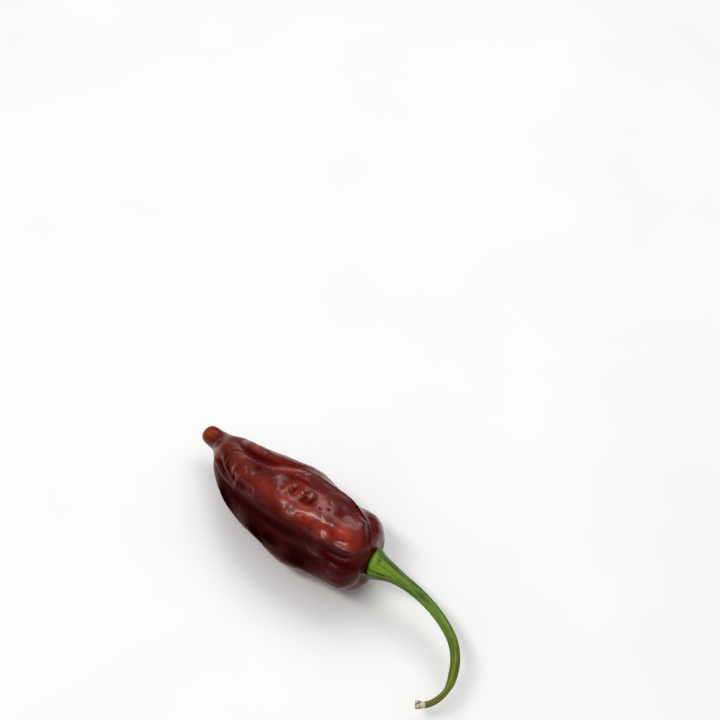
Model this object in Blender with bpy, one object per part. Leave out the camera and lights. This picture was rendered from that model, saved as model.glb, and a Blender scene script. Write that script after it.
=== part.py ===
"""A chilli pepper as picked, lying on its belly.

Two grown pieces, each one solid: the glossy lobed pod, with its blunt nub of a tip, and the green stem, whose
flared end is the calyx that caps the pod's shoulder. The pod lies along +X with its tip at -X, and the side that
a viewer in front and above sees is -Y. Metres, +Z up, origin under the middle, on the surface it lies on.
"""

import math
import random

import bmesh
import bpy
import numpy as np
from mathutils import Matrix

MM = 0.001

# The pod's form, in millimetres, as (distance from the tip, radius): out over the blunt nub, in at its neck, along
# the tapering body to the belly, over the shoulder, and back in to the sunken seat of the calyx.
POD_PROFILE = (
    (0.8, 0.0), (1.1, 1.8), (2.3, 2.9), (4.6, 3.15), (7.0, 3.3), (9.6, 4.4), (12.6, 6.4), (17.5, 8.4),
    (24.5, 10.5), (33.0, 12.4), (43.0, 14.0), (52.0, 13.4), (60.0, 12.6), (65.5, 11.5), (69.6, 9.5),
    (71.3, 6.9), (71.1, 4.6), (70.9, 0.0),
)
# Its middle line, as (distance from the tip, sideways, height): the tip bends back and sinks, the belly is level.
POD_LINE = (
    (0.0, 4.1, 10.4), (8.0, 4.3, 10.2), (17.0, 2.1, 11.2), (28.0, -0.3, 12.6), (43.0, -0.8, 13.4),
    (58.0, 0.2, 13.6), (73.0, 2.0, 13.6),
)
LINE_STEP = 0.5
# The shoulder's rim leans, further along on the side that faces this way round the pod.
SHOULDER_LEAN = 0.17
SHOULDER_LEAN_TOWARDS = 116.0
SHOULDER_LEAN_FROM = 50.0
SHOULDER_LEAN_FULL = 69.0

# Turns round the pod are in degrees: 0 is the top, and 90 is the -Y side. A furrow is rows of (distance from the
# tip, turn, depth). Four of them part the pod's lobes and twist round it towards the stem.
FURROW_HALF_WIDTH = 3.2
FURROW_START = 3.0
FURROWS = (
    (
        (9, 60, 0.5), (15, 58, 1.4), (22, 62, 2.0), (28, 56, 2.0), (36, 52, 1.8), (46, 50, 1.7), (53, 46, 1.8),
        (58, 42, 1.9), (62, 38, 2.1), (66, 35, 2.3), (70, 31, 2.4),
    ),
    (
        (9, -32, 0.4), (14, -25, 1.2), (18, -13, 1.5), (23, -8, 1.6), (27, -8, 1.5), (31, -11, 1.4), (35, -22, 1.2),
        (41, -42, 1.1), (50, -62, 0.9), (58, -62, 0.9), (64, -46, 1.3), (70, -25, 2.2),
    ),
    ((9, 165, 0.4), (24, 145, 1.2), (43, 132, 1.3), (56, 124, 1.4), (69, 117, 1.8)),
    ((9, -90, 0.4), (24, -110, 1.2), (43, -125, 1.4), (56, -133, 1.5), (69, -142, 1.8)),
)
# The crumpled trough that runs along the top of the upper lobe.
TROUGH_HALF_WIDTH = 2.0
TROUGH = (
    (24, 14, 0.0), (29, 12, 0.5), (33, 10, 0.9), (37, 6, 0.6), (42, 3, 1.0), (46, 4, 1.2), (50, 3, 1.1),
    (54, 2, 0.4), (59, 0, 0.0),
)
# Lumps and hollows, as (distance from the tip, turn, half length, half width, height), with hollows below 0.
LUMPS = (
    (70.5, 115, 2.4, 8.0, -2.2), (65.5, 115, 4.0, 7.0, 1.2), (50.0, 115, 4.0, 7.0, 1.0), (40.0, 115, 5.0, 7.0, -0.9),
    (12.0, 115, 2.6, 5.0, -1.1), (20.0, -65, 6.0, 6.0, -0.6), (42.0, -65, 5.0, 6.0, 0.3), (56.0, -65, 7.0, 6.0, -0.8),
    (68.0, -65, 4.0, 7.0, 0.8), (32.4, 9, 1.6, 1.8, -0.5), (38.8, 2, 1.8, 2.0, 0.7), (44.5, 2, 1.8, 2.0, -0.4),
    (46.9, 1, 0.9, 2.4, 0.4), (49.8, 2, 1.9, 2.2, -0.4), (48.6, -11, 2.8, 1.5, 0.4), (54.0, -2, 2.6, 2.8, 0.5),
    (48.0, 27, 2.6, 2.2, 0.5), (59.0, 26, 1.8, 1.8, 0.4), (66.0, 25, 2.8, 1.8, 0.5), (65.0, -6, 3.2, 2.0, 0.4),
    (68.3, -13, 1.2, 1.2, -0.5), (23.0, -27, 4.0, 2.0, 0.5), (25.5, 42, 1.3, 2.0, -0.5), (21.5, 47, 1.2, 2.0, -0.4),
    (32.0, 34, 2.6, 2.0, -0.5), (28.0, 38, 1.2, 2.2, 0.3), (60.5, 68, 1.6, 2.0, -0.4), (63.0, 55, 2.0, 1.6, -0.3),
)
# A seeded draw of smaller ones between them, all round the body.
BUMPS = 110
BUMP_SEED = 31
BUMP_REGION = (14.0, 69.0)
BUMP_SIZE = (1.3, 2.8)
BUMP_STRETCH = (0.7, 1.5)
BUMP_HEIGHT = 0.22
# The relief comes in along the neck, and goes out towards the seat of the calyx, where the radius is small.
RELIEF_IN_ALONG = (5.0, 12.0)
RELIEF_IN_RADIUS = (2.0, 9.0)

POD_RINGS = 70
POD_SIDES = 72
# How much of the lowest skin is pressed flat by the pod's own weight.
FLATTENED = 0.4

# The stem's route, as (along, sideways, height) in the pod's own millimetres, and its radius along its length.
STEM_ROUTE = (
    (67.0, 1.6, 13.4), (71.6, 1.8, 13.2), (78.5, 2.7, 12.7), (89.8, 3.2, 11.4), (97.5, 1.8, 10.5),
    (103.8, -1.3, 9.8), (108.4, -6.2, 8.7), (110.6, -11.1, 7.8), (110.8, -15.4, 7.0), (109.4, -18.9, 6.4),
    (106.9, -21.0, 6.0),
)
CALYX_RADIUS = 4.3
STEM_RADII = (
    (0.0, CALYX_RADIUS), (4.4, CALYX_RADIUS), (8.0, 3.3), (11.8, 2.4), (15.0, 1.95), (19.0, 1.65), (24.0, 1.35),
    (32.0, 1.1), (40.0, 1.2), (46.0, 1.22), (51.0, 0.98), (57.0, 0.92), (61.0, 0.96), (63.0, 1.15),
)
STEM_RINGS = 60
STEM_SIDES = 20
STEM_RIBS = 5
RIB_HEIGHT = 0.05
CALYX_GAP = 0.3

LINE_SAMPLES = 2000


def curve_through(points, places):
    """Values of a smooth curve through rows of (place, value, ...), read at the places asked for."""
    rows = np.array(points, float)
    knots, values = rows[:, 0], rows[:, 1:]
    slopes = np.gradient(values, knots, axis=0)
    at = np.clip(places, knots[0], knots[-1])
    cell = np.clip(np.searchsorted(knots, at, side="right") - 1, 0, len(knots) - 2)
    span = (knots[cell + 1] - knots[cell])[:, None]
    t = (at - knots[cell])[:, None] / span
    return (
        values[cell] * (2 * t**3 - 3 * t**2 + 1)
        + values[cell + 1] * (3 * t**2 - 2 * t**3)
        + slopes[cell] * span * (t**3 - 2 * t**2 + t)
        + slopes[cell + 1] * span * (t**3 - t**2)
    )


def along_outline(points, shares):
    """Points at these shares of the length of a smooth line through the points given."""
    rows = np.array(points, float)
    knots = np.concatenate([[0.0], np.cumsum(np.linalg.norm(np.diff(rows, axis=0), axis=1))])
    line = curve_through(np.column_stack([knots, rows]), np.linspace(0.0, knots[-1], LINE_SAMPLES))
    length = np.concatenate([[0.0], np.cumsum(np.linalg.norm(np.diff(line, axis=0), axis=1))])
    return np.column_stack([np.interp(shares * length[-1], length, column) for column in line.T])


def ease(low, high, value):
    """0 below low and 1 above high, with a soft start and end."""
    t = np.clip((value - low) / (high - low), 0.0, 1.0)
    return t * t * (3 - 2 * t)


def distance_round(turn, bearing, radius):
    """Millimetres round the skin from a bearing, so that a furrow keeps its width where the pod is thin."""
    return np.radians((turn - bearing + 180) % 360 - 180) * np.maximum(radius, 1.0)


def groove(path, half_width, along, turn, radius):
    """How deep a furrow is at these places."""
    line = curve_through(path, along)
    across = distance_round(turn, line[:, 0], radius)
    begun = ease(path[0][0] - FURROW_START, path[0][0], along)
    return line[:, 1] * begun * np.exp(-((across / half_width) ** 2))


def random_bumps():
    """The small swellings and dents between the named ones, in the same form as LUMPS."""
    draw = random.Random(BUMP_SEED)
    rows = []
    for _ in range(BUMPS):
        place, bearing = draw.uniform(*BUMP_REGION), draw.uniform(-180, 180)
        size = draw.uniform(*BUMP_SIZE)
        rows.append((place, bearing, size, size * draw.uniform(*BUMP_STRETCH), draw.uniform(-1, 1) * BUMP_HEIGHT))
    return tuple(rows)


def relief(along, turn, radius):
    """How far the skin stands out from the plain turned pod."""
    height = -groove(TROUGH, TROUGH_HALF_WIDTH, along, turn, radius)
    for path in FURROWS:
        height -= groove(path, FURROW_HALF_WIDTH, along, turn, radius)
    for place, bearing, half_length, half_width, rise in LUMPS + random_bumps():
        across = distance_round(turn, bearing, radius)
        height += rise * np.exp(-(((along - place) / half_length) ** 2) - (across / half_width) ** 2)
    return height * ease(*RELIEF_IN_ALONG, along) * ease(*RELIEF_IN_RADIUS, radius)


def pod_points(share, turn):
    """Places on the pod's skin, in millimetres, for a share of the profile's length and a turn in degrees."""
    along, radius = along_outline(POD_PROFILE, share).T
    out = radius + relief(along, turn, radius)
    angle = np.radians(turn)
    lean = SHOULDER_LEAN * ease(SHOULDER_LEAN_FROM, SHOULDER_LEAN_FULL, along)
    along = along + lean * out * np.cos(angle - math.radians(SHOULDER_LEAN_TOWARDS))
    line = curve_through(POD_LINE, along)
    rise = curve_through(POD_LINE, along + LINE_STEP) - curve_through(POD_LINE, along - LINE_STEP)
    slope = rise / (2 * LINE_STEP)
    side, up = -np.sin(angle) * out, np.cos(angle) * out
    tilt = side * slope[:, 0] + up * slope[:, 1]
    return np.column_stack([along - tilt, line[:, 0] + side, line[:, 1] + up])


def pod_mesh(name, grown=0.0):
    """A sphere of rings and sides, whose poles become the tip and the seat of the calyx."""
    bm = bmesh.new()
    bmesh.ops.create_uvsphere(bm, u_segments=POD_SIDES, v_segments=POD_RINGS, radius=1.0)
    ball = np.array([v.co for v in bm.verts])
    share = np.arccos(np.clip(-ball[:, 2], -1, 1)) / math.pi
    turn = np.degrees(np.arctan2(ball[:, 1], ball[:, 0]))
    for vert, place in zip(bm.verts, pod_points(share, turn)):
        vert.co = place
    bmesh.ops.recalc_face_normals(bm, faces=bm.faces)
    bm.normal_update()
    for vert, out in [(v, v.normal.copy()) for v in bm.verts]:
        vert.co += out * grown
    return finished(bm, name)


def stem_mesh(name):
    """A cylinder cut into rings, which are then strung along the route."""
    bm = bmesh.new()
    bmesh.ops.create_cone(bm, cap_ends=True, segments=STEM_SIDES, radius1=1.0, radius2=1.0, depth=1.0)
    lengthwise = [e for e in bm.edges if abs(e.verts[0].co.z - e.verts[1].co.z) > 0.5]
    bmesh.ops.subdivide_edges(bm, edges=lengthwise, cuts=STEM_RINGS)
    rod = np.array([v.co for v in bm.verts])
    share, turn = rod[:, 2] + 0.5, np.arctan2(rod[:, 1], rod[:, 0])
    step = 1 / STEM_RINGS
    line = along_outline(STEM_ROUTE, share)
    ahead = along_outline(STEM_ROUTE, np.minimum(share + step, 1))
    ahead -= along_outline(STEM_ROUTE, np.maximum(share - step, 0))
    ahead /= np.linalg.norm(ahead, axis=1)[:, None]
    side = np.cross(ahead, (0.0, 0.0, 1.0))
    side /= np.linalg.norm(side, axis=1)[:, None]
    up = np.cross(side, ahead)
    radius = curve_through(STEM_RADII, share * STEM_RADII[-1][0])[:, 0] * (1 + RIB_HEIGHT * np.cos(STEM_RIBS * turn))
    ring = np.cos(turn)[:, None] * up + np.sin(turn)[:, None] * side
    for vert, place in zip(bm.verts, line + radius[:, None] * ring):
        vert.co = place
    bmesh.ops.recalc_face_normals(bm, faces=bm.faces)
    return finished(bm, name)


def finished(bm, name):
    mesh = bpy.data.meshes.new(name)
    bm.to_mesh(mesh)
    bm.free()
    mesh.shade_smooth()
    return mesh


def settle(pod, stem, cutter):
    """Sets the lowest skin on the surface, a little flattened, centres the whole, and turns millimetres to metres."""
    points = np.array([v.co for mesh in (pod, stem) for v in mesh.vertices])
    middle = (points.min(axis=0) + points.max(axis=0)) / 2
    floor = min(v.co.z for v in pod.vertices) + FLATTENED
    for mesh in (pod, stem, cutter):
        mesh.transform(Matrix.Translation((-middle[0], -middle[1], -floor)))
        for vert in mesh.vertices:
            vert.co.z = max(vert.co.z, 0.0)
        mesh.transform(Matrix.Scale(MM, 4))
        mesh.update()


def new_object(name, mesh, collection):
    thing = bpy.data.objects.new(name, mesh)
    collection.objects.link(thing)
    return thing


def plain_material(name, colour, roughness):
    material = bpy.data.materials.new(name)
    material.use_nodes = True
    shader = material.node_tree.nodes["Principled BSDF"]
    shader.inputs["Base Color"].default_value = (*colour, 1.0)
    shader.inputs["Roughness"].default_value = roughness
    shader.inputs["Metallic"].default_value = 0.0
    return material


def main():
    for thing in list(bpy.data.objects):
        bpy.data.objects.remove(thing)
    pepper = bpy.data.collections.new("chilli_pepper")
    cutters = bpy.data.collections.new("cutters")
    bpy.context.scene.collection.children.link(pepper)
    bpy.context.scene.collection.children.link(cutters)

    pod = pod_mesh("pod")
    stem = stem_mesh("stem")
    grown = pod_mesh("pod_grown", CALYX_GAP)
    settle(pod, stem, grown)
    pod.materials.append(plain_material("pod_skin", (0.16, 0.018, 0.012), 0.25))
    stem.materials.append(plain_material("stem_green", (0.13, 0.28, 0.03), 0.45))
    new_object("pod", pod, pepper)
    stem_object = new_object("stem", stem, pepper)

    cutter = new_object("pod_grown", grown, cutters)
    cutter.hide_render = True
    cutter.display_type = "WIRE"
    seat = stem_object.modifiers.new("seat", "BOOLEAN")
    seat.operation = "DIFFERENCE"
    seat.object = cutter


main()
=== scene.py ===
"""The looks of a chilli pepper as picked: a glossy, crumpled, chocolate-red pod and its green stem.

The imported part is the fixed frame. Two pieces are modelled over its two solids, one section each, and the
last sections set the floor, the light and the camera.
"""

import math
import random

import bmesh
import bpy
import numpy as np
from mathutils import Matrix, Vector
from mathutils.kdtree import KDTree


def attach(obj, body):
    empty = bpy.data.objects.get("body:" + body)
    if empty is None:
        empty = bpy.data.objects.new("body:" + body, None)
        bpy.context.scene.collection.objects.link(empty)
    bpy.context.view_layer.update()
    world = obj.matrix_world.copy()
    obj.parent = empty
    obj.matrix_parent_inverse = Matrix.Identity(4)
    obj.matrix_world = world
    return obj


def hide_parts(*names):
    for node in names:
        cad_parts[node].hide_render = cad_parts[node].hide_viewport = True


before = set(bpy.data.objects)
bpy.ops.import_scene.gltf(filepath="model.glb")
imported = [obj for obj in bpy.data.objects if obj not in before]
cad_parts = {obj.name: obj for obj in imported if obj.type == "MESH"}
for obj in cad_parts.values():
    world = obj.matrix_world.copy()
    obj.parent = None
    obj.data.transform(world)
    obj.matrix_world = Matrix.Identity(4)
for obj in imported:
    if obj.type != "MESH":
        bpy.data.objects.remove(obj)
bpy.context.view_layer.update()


# The pod: the fruit, one hollow berry whose wall is thin, crisp and waxy. It grew in four lobes round its
# ribs, and crumpled as it ripened. A ball of fine rings is drawn out over the pod's spine, pressed on to the
# part's own solid for its furrows and lumps, and then creased and dimpled like the skin.
MM = 0.001
POD_AT = (-56.32, 4.32, 0.20)
POD_PROFILE = (
    (0.8, 0.0), (1.1, 1.8), (2.3, 2.9), (4.6, 3.15), (7.0, 3.3), (9.6, 4.4), (12.6, 6.4), (17.5, 8.4),
    (24.5, 10.5), (33.0, 12.4), (43.0, 14.0), (52.0, 13.4), (60.0, 12.6), (65.5, 11.5), (69.6, 9.5),
    (71.3, 6.9), (71.1, 4.6), (70.9, 0.0),
)
POD_LINE = (
    (0.0, 4.1, 10.4), (8.0, 4.3, 10.2), (17.0, 2.1, 11.2), (28.0, -0.3, 12.6), (43.0, -0.8, 13.4),
    (58.0, 0.2, 13.6), (73.0, 2.0, 13.6),
)
SHOULDER_LEAN = 0.17
SHOULDER_LEAN_TOWARDS = 116.0
SHOULDER_LEAN_REGION = (50.0, 69.0)
LINE_STEP = 0.5
LINE_SAMPLES = 2000
POD_RINGS = 288
POD_SIDES = 288
REACH_TO_THE_SOLID = 4.0
EVENED_OUT = 14


def curve_through(points, places):
    """Values of a smooth curve through rows of (place, value, ...), read at the places asked for."""
    rows = np.array(points, float)
    knots, values = rows[:, 0], rows[:, 1:]
    slopes = np.gradient(values, knots, axis=0)
    at = np.clip(places, knots[0], knots[-1])
    cell = np.clip(np.searchsorted(knots, at, side="right") - 1, 0, len(knots) - 2)
    span = (knots[cell + 1] - knots[cell])[:, None]
    t = (at - knots[cell])[:, None] / span
    return (
        values[cell] * (2 * t**3 - 3 * t**2 + 1)
        + values[cell + 1] * (3 * t**2 - 2 * t**3)
        + slopes[cell] * span * (t**3 - 2 * t**2 + t)
        + slopes[cell + 1] * span * (t**3 - t**2)
    )


def along_outline(points, shares):
    """Points at these shares of the length of a smooth line through the points given."""
    rows = np.array(points, float)
    knots = np.concatenate([[0.0], np.cumsum(np.linalg.norm(np.diff(rows, axis=0), axis=1))])
    line = curve_through(np.column_stack([knots, rows]), np.linspace(0.0, knots[-1], LINE_SAMPLES))
    length = np.concatenate([[0.0], np.cumsum(np.linalg.norm(np.diff(line, axis=0), axis=1))])
    return np.column_stack([np.interp(shares * length[-1], length, column) for column in line.T])


def ease(low, high, value):
    """0 below low and 1 above high, with a soft start and end."""
    t = np.clip((value - low) / (high - low), 0.0, 1.0)
    return t * t * (3 - 2 * t)


def read_points(mesh, what="co"):
    """The places or the normals of a mesh's points, as rows."""
    flat = np.empty(len(mesh.vertices) * 3)
    mesh.vertices.foreach_get(what, flat)
    return flat.reshape(-1, 3)


def place_points(mesh, rows):
    mesh.vertices.foreach_set("co", rows.ravel())
    mesh.update()


def apply_modifier(thing, kind, **settings):
    """Adds a modifier with its settings to the active object, and applies it."""
    modifier = thing.modifiers.new(kind.lower(), kind)
    for name, value in settings.items():
        setattr(modifier, name, value)
    bpy.ops.object.modifier_apply(modifier=modifier.name)


def only(thing):
    """Selects this object alone and makes it the active one."""
    bpy.ops.object.select_all(action="DESELECT")
    thing.select_set(True)
    bpy.context.view_layer.objects.active = thing


bpy.ops.object.select_all(action="DESELECT")
bpy.ops.mesh.primitive_uv_sphere_add(segments=POD_SIDES, ring_count=POD_RINGS, radius=1.0)
pod = bpy.context.object
pod.name = pod.data.name = "waxy_pod"
ball = read_points(pod.data)
turn = np.degrees(np.arctan2(ball[:, 1], ball[:, 0]))
along, radius = along_outline(POD_PROFILE, np.arccos(np.clip(-ball[:, 2], -1, 1)) / math.pi).T
girth = np.maximum(radius, 1.0)
angle = np.radians(turn)
lean = SHOULDER_LEAN * ease(*SHOULDER_LEAN_REGION, along) * radius
leant = along + lean * np.cos(angle - math.radians(SHOULDER_LEAN_TOWARDS))
line = curve_through(POD_LINE, leant)
slope = curve_through(POD_LINE, leant + LINE_STEP) - curve_through(POD_LINE, leant - LINE_STEP)
slope /= 2 * LINE_STEP
side, up = -np.sin(angle) * radius, np.cos(angle) * radius
tilt = side * slope[:, 0] + up * slope[:, 1]
spindle = np.column_stack([leant - tilt, line[:, 0] + side, line[:, 1] + up]) + POD_AT
place_points(pod.data, spindle * MM)
only(pod)
bpy.ops.object.mode_set(mode="EDIT")
bpy.ops.mesh.select_all(action="SELECT")
bpy.ops.mesh.normals_make_consistent(inside=False)
bpy.ops.object.mode_set(mode="OBJECT")
out = read_points(pod.data, "normal")

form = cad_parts["pod"].copy()
form.data = form.data.copy()
form.parent = None
bpy.context.collection.objects.link(form)
only(form)
bpy.ops.object.mode_set(mode="EDIT")
bpy.ops.mesh.select_all(action="SELECT")
bpy.ops.mesh.remove_doubles(threshold=0.01 * MM)
bpy.ops.mesh.tris_convert_to_quads()
bpy.ops.object.mode_set(mode="OBJECT")
apply_modifier(form, "SUBSURF", levels=2, render_levels=2)

only(pod)
apply_modifier(
    pod, "SHRINKWRAP", target=form, wrap_method="PROJECT", use_negative_direction=True,
    project_limit=REACH_TO_THE_SOLID * MM,
)
bpy.data.objects.remove(form)
apply_modifier(pod, "SMOOTH", factor=0.5, iterations=EVENED_OUT)
sunk = np.einsum("ij,ij->i", spindle - read_points(pod.data) / MM, out)

# Folds of the part's solid that the skin rounds over, as (half width, share, path). Every path is made of
# rows of (distance from the tip, turn round the pod from its top).
SOFT_FOLDS = (
    (2.4, 1.0, (
        (48.0, -66), (54.0, -54), (58.6, -44), (63.7, -34), (67.5, -28), (69.5, -22), (71.0, -14),
    )),
    (2.2, 1.0, ((54.5, 45), (59.0, 48), (62.0, 49), (65.0, 49), (67.5, 45), (69.0, 42))),
    (3.0, 0.9, ((29.0, -8), (36.0, -15), (42.0, -25), (49.0, -37), (54.0, -41), (61.0, -38))),
)
SOFT_FOLD_ROUNDS = 120
LEAST_SHARE = 0.02
# Creases and ridges are (half width, height, path), with creases below 0. Dimples and lumps are (distance
# from the tip, turn, half length, half width, height).
NECK_CREASES = (
    (0.55, 0.20, ((20.4, 30), (21.0, 40), (21.3, 50))),
    (0.50, 0.28, ((24.8, 25), (25.5, 31), (25.1, 39))),
    (0.50, 0.28, ((27.9, 31), (27.9, 38), (27.0, 51))),
    (1.10, -0.25, ((17.2, 38), (18.4, 44), (19.0, 53))),
    (1.10, -0.28, ((22.6, 36), (23.2, 46), (23.4, 57))),
    (0.90, -0.28, ((26.4, 34), (26.4, 44), (25.6, 54))),
    (0.40, 0.35, ((12.0, 66), (17.0, 67), (21.0, 67), (24.0, 63))),
    (0.45, -0.30, ((13.0, 60), (18.0, 61), (22.5, 61))),
)
FAR_FURROW_CREASES = (
    (1.00, -0.50, ((14.5, -22), (18.0, -14), (23.0, -10), (28.0, -11), (32.0, -14), (36.0, -24))),
    (1.10, 0.40, ((14.5, -38), (17.5, -31), (21.0, -28), (25.0, -28), (29.0, -32))),
)
TROUGH_CREASES = (
    (0.40, -0.26, ((30.8, 17.5), (32.0, 16), (33.6, 15))),
    (0.35, -0.14, ((34.4, 12), (34.8, 7), (34.4, 3))),
    (0.35, -0.12, ((36.0, 11), (36.3, 5))),
    (0.45, 0.30, ((42.0, 2), (42.8, 8), (43.8, 12), (45.2, 15))),
    (0.40, 0.18, ((45.8, -2), (46.4, 3), (46.6, 8), (46.4, 12))),
    (1.50, -0.24, ((37.5, 0), (39.6, -8), (43.0, -12), (46.5, -13), (51.5, -11))),
    (1.20, 0.25, ((40.5, -4), (43.5, -7), (47.0, -7), (50.0, -5))),
    (0.25, 0.12, ((48.4, -1), (48.9, 3), (49.0, 7))),
)
FRONT_RIDGE_CREASES = (
    (0.30, -0.16, ((45.4, 24), (46.0, 29), (46.2, 34))),
    (0.30, -0.20, ((47.2, 23), (47.6, 28), (48.2, 34))),
    (0.30, -0.16, ((49.6, 24), (49.8, 30), (50.2, 36))),
    (0.30, -0.14, ((51.6, 25), (52.0, 31))),
    (0.35, -0.16, ((53.6, 24), (54.2, 30), (55.0, 36))),
    (0.35, -0.18, ((56.8, 23), (57.2, 29), (57.6, 36))),
    (0.35, -0.12, ((60.8, 24), (61.0, 30))),
)
SHOULDER_CREASES = (
    (1.20, -0.45, ((57.0, 44), (60.0, 45), (62.5, 46), (64.8, 46), (66.8, 43), (68.8, 37))),
    (1.50, 0.55, ((55.5, 33), (58.5, 35), (61.5, 36.5), (64.5, 36.5), (67.0, 33), (69.0, 28))),
    (3.20, 0.30, ((57.0, 16), (61.0, 20), (65.0, 20), (68.0, 16))),
    (2.60, -0.80, ((47.0, 62), (53.0, 58), (58.0, 56), (63.0, 57), (67.0, 58), (70.0, 54))),
    (0.50, -0.08, ((61.8, 60), (64.2, 60.5), (66.2, 60))),
    (0.50, -0.12, ((60.6, 74), (62.6, 77), (65.0, 75))),
    (0.60, -0.14, ((61.5, 79), (64.0, 83), (67.5, 80))),
    (0.45, -0.12, ((62.5, 91), (64.5, 93.5), (66.6, 91))),
    (0.45, 0.12, ((59.4, 67), (60.6, 70), (62.0, 73))),
    (0.40, 0.20, ((66.8, -14), (67.6, -24), (68.6, -32))),
    (1.40, 0.50, ((50.0, -62), (54.0, -54), (58.6, -44), (63.7, -34), (67.5, -28), (70.5, -18))),
)
DIMPLES = (
    (54.3, 6.5, 0.40, 0.32, -0.45), (56.5, 0.0, 0.42, 0.30, -0.45), (30.6, 5.0, 1.4, 1.4, -0.12),
    (38.0, 3.0, 1.2, 1.5, 0.20), (41.0, 6.0, 1.1, 2.2, -0.28), (68.3, -20.0, 0.6, 0.6, -0.30),
    (51.4, 74.0, 0.7, 0.7, 0.2), (58.8, 31.0, 1.1, 1.2, 0.25), (48.0, 28.0, 1.8, 1.3, 0.25),
    (66.2, 29.0, 1.8, 1.1, 0.20), (54.0, -1.0, 3.3, 3.4, 0.30), (65.0, -6.0, 2.4, 2.4, 0.20),
    (30.5, 41.0, 1.9, 1.5, -0.30), (18.8, -30.0, 3.4, 1.8, 0.30), (67.4, -16.0, 1.8, 2.0, 0.35),
    (47.6, -7.0, 1.9, 1.2, 0.15), (16.0, 5.0, 2.5, 2.5, 0.15),
)
# Level or leaning patches of skin, which catch the light, as (distance, turn, half length, half width, slope
# along the pod, slope round it).
FACETS = (
    (54.0, -1.0, 2.8, 2.8, -0.16, 0.09), (52.0, -7.0, 1.4, 1.4, -0.22, 0.04),
    (56.4, 5.0, 1.4, 1.6, 0.13, 0.15), (64.6, -4.0, 2.2, 2.4, 0.25, -0.15),
    (63.0, 3.0, 1.4, 1.4, 0.10, 0.12), (66.4, -10.0, 1.6, 1.8, 0.42, -0.42),
    (59.9, -2.0, 1.6, 3.2, 0.05, 0.30), (38.2, 3.0, 0.9, 1.2, -0.36, 0.18),
    (47.6, -7.0, 1.4, 1.2, 0.0, 0.22), (42.8, 8.0, 0.8, 1.8, -0.34, -0.20),
    (47.8, 31.0, 2.4, 1.9, -0.05, 0.56), (58.8, 31.0, 1.7, 1.6, 0.14, 0.74),
    (65.2, 29.0, 2.6, 1.5, 0.36, 0.76),
)
# The rest is a seeded draw all round the body: short creases, most of them across the pod, and small dimples.
WRINKLE_SEED = 5
WRINKLES = 230
WRINKLE_REGION = (11.0, 70.0)
WRINKLE_LENGTH = (1.4, 4.6)
WRINKLE_HALF_WIDTH = (0.30, 0.55)
WRINKLE_DEPTH = (0.04, 0.15)
WRINKLE_HEADING_SPREAD = 32.0
WRINKLE_BEND = 0.25
WRINKLE_LEAST_GIRTH = 3.0
PITS = 420
PIT_SIZE = (0.35, 1.0)
PIT_HEIGHT = 0.07
BODY_FROM_TIP = (6.0, 14.0)
BODY_FROM_AXIS = (4.0, 8.0)
# The first rows of POD_PROFILE, over which the distance from the tip still grows.
BODY_ROWS = 14
# The share of a path's length over which a band or a crease fades at each of its ends.
PATH_FADE = (-0.1, 0.35)


def apart(place, bearing):
    """How far each point of the skin lies from a place, along the pod and round it, in millimetres."""
    return along - place, np.radians((turn - bearing + 180) % 360 - 180) * girth


def stroke(half_width, height, path):
    """A ridge or a crease along a path over the skin, which fades out at both ends."""
    nearest, where = np.full(len(along), np.inf), np.zeros(len(along))
    for number, ((start, begins), (end, ends)) in enumerate(zip(path, path[1:])):
        ahead, across = apart(start, begins)
        run, swing = end - start, math.radians(ends - begins) * girth
        share = np.clip((ahead * run + across * swing) / (run**2 + swing**2), 0, 1)
        gap = np.hypot(ahead - share * run, across - share * swing)
        closer = gap < nearest
        nearest = np.where(closer, gap, nearest)
        where = np.where(closer, (number + share) / (len(path) - 1), where)
    fade = ease(*PATH_FADE, where) * ease(*PATH_FADE, 1 - where)
    return height * fade * np.exp(-((nearest / half_width) ** 2))


def dimple(place, bearing, half_length, half_width, height):
    ahead, across = apart(place, bearing)
    return height * np.exp(-((ahead / half_length) ** 2) - (across / half_width) ** 2)


def facet(place, bearing, half_length, half_width, slope_along, slope_round):
    ahead, across = apart(place, bearing)
    fade = np.exp(-((ahead / half_length) ** 2) - (across / half_width) ** 2)
    return (slope_along * ahead + slope_round * across) * fade


def random_wrinkle(draw):
    """One short crease, bent a little in its middle, at a drawn place and heading."""
    place, bearing = draw.uniform(*WRINKLE_REGION), draw.uniform(-180, 180)
    heading = math.radians(90 + draw.gauss(0, WRINKLE_HEADING_SPREAD))
    half = draw.uniform(*WRINKLE_LENGTH) / 2
    girth_there = float(np.interp(place, *zip(*POD_PROFILE[:BODY_ROWS])))
    around = math.degrees(1 / max(girth_there, WRINKLE_LEAST_GIRTH))
    bend = draw.uniform(-WRINKLE_BEND, WRINKLE_BEND) * half
    rows = []
    for step in (-1.0, 0.0, 1.0):
        ahead = math.cos(heading) * half * step - math.sin(heading) * bend * (1 - abs(step))
        across = math.sin(heading) * half * step + math.cos(heading) * bend * (1 - abs(step))
        rows.append((place + ahead, bearing + across * around))
    depth = draw.uniform(*WRINKLE_DEPTH) * draw.choice((-1, -1, 1))
    return draw.uniform(*WRINKLE_HALF_WIDTH), depth, tuple(rows)


def push_out(mesh, height):
    """Moves the skin along its own normals by heights in millimetres."""
    place_points(mesh, read_points(mesh) + read_points(mesh, "normal") * (height * MM)[:, None])


share = np.zeros(len(along))
for row in SOFT_FOLDS:
    share = np.maximum(share, stroke(*row))
soft = pod.vertex_groups.new(name="soft_folds")
for point in np.flatnonzero(share > LEAST_SHARE):
    soft.add([int(point)], float(share[point]), "REPLACE")
apply_modifier(pod, "SMOOTH", factor=0.5, iterations=SOFT_FOLD_ROUNDS, vertex_group=soft.name)
pod.vertex_groups.clear()

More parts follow.
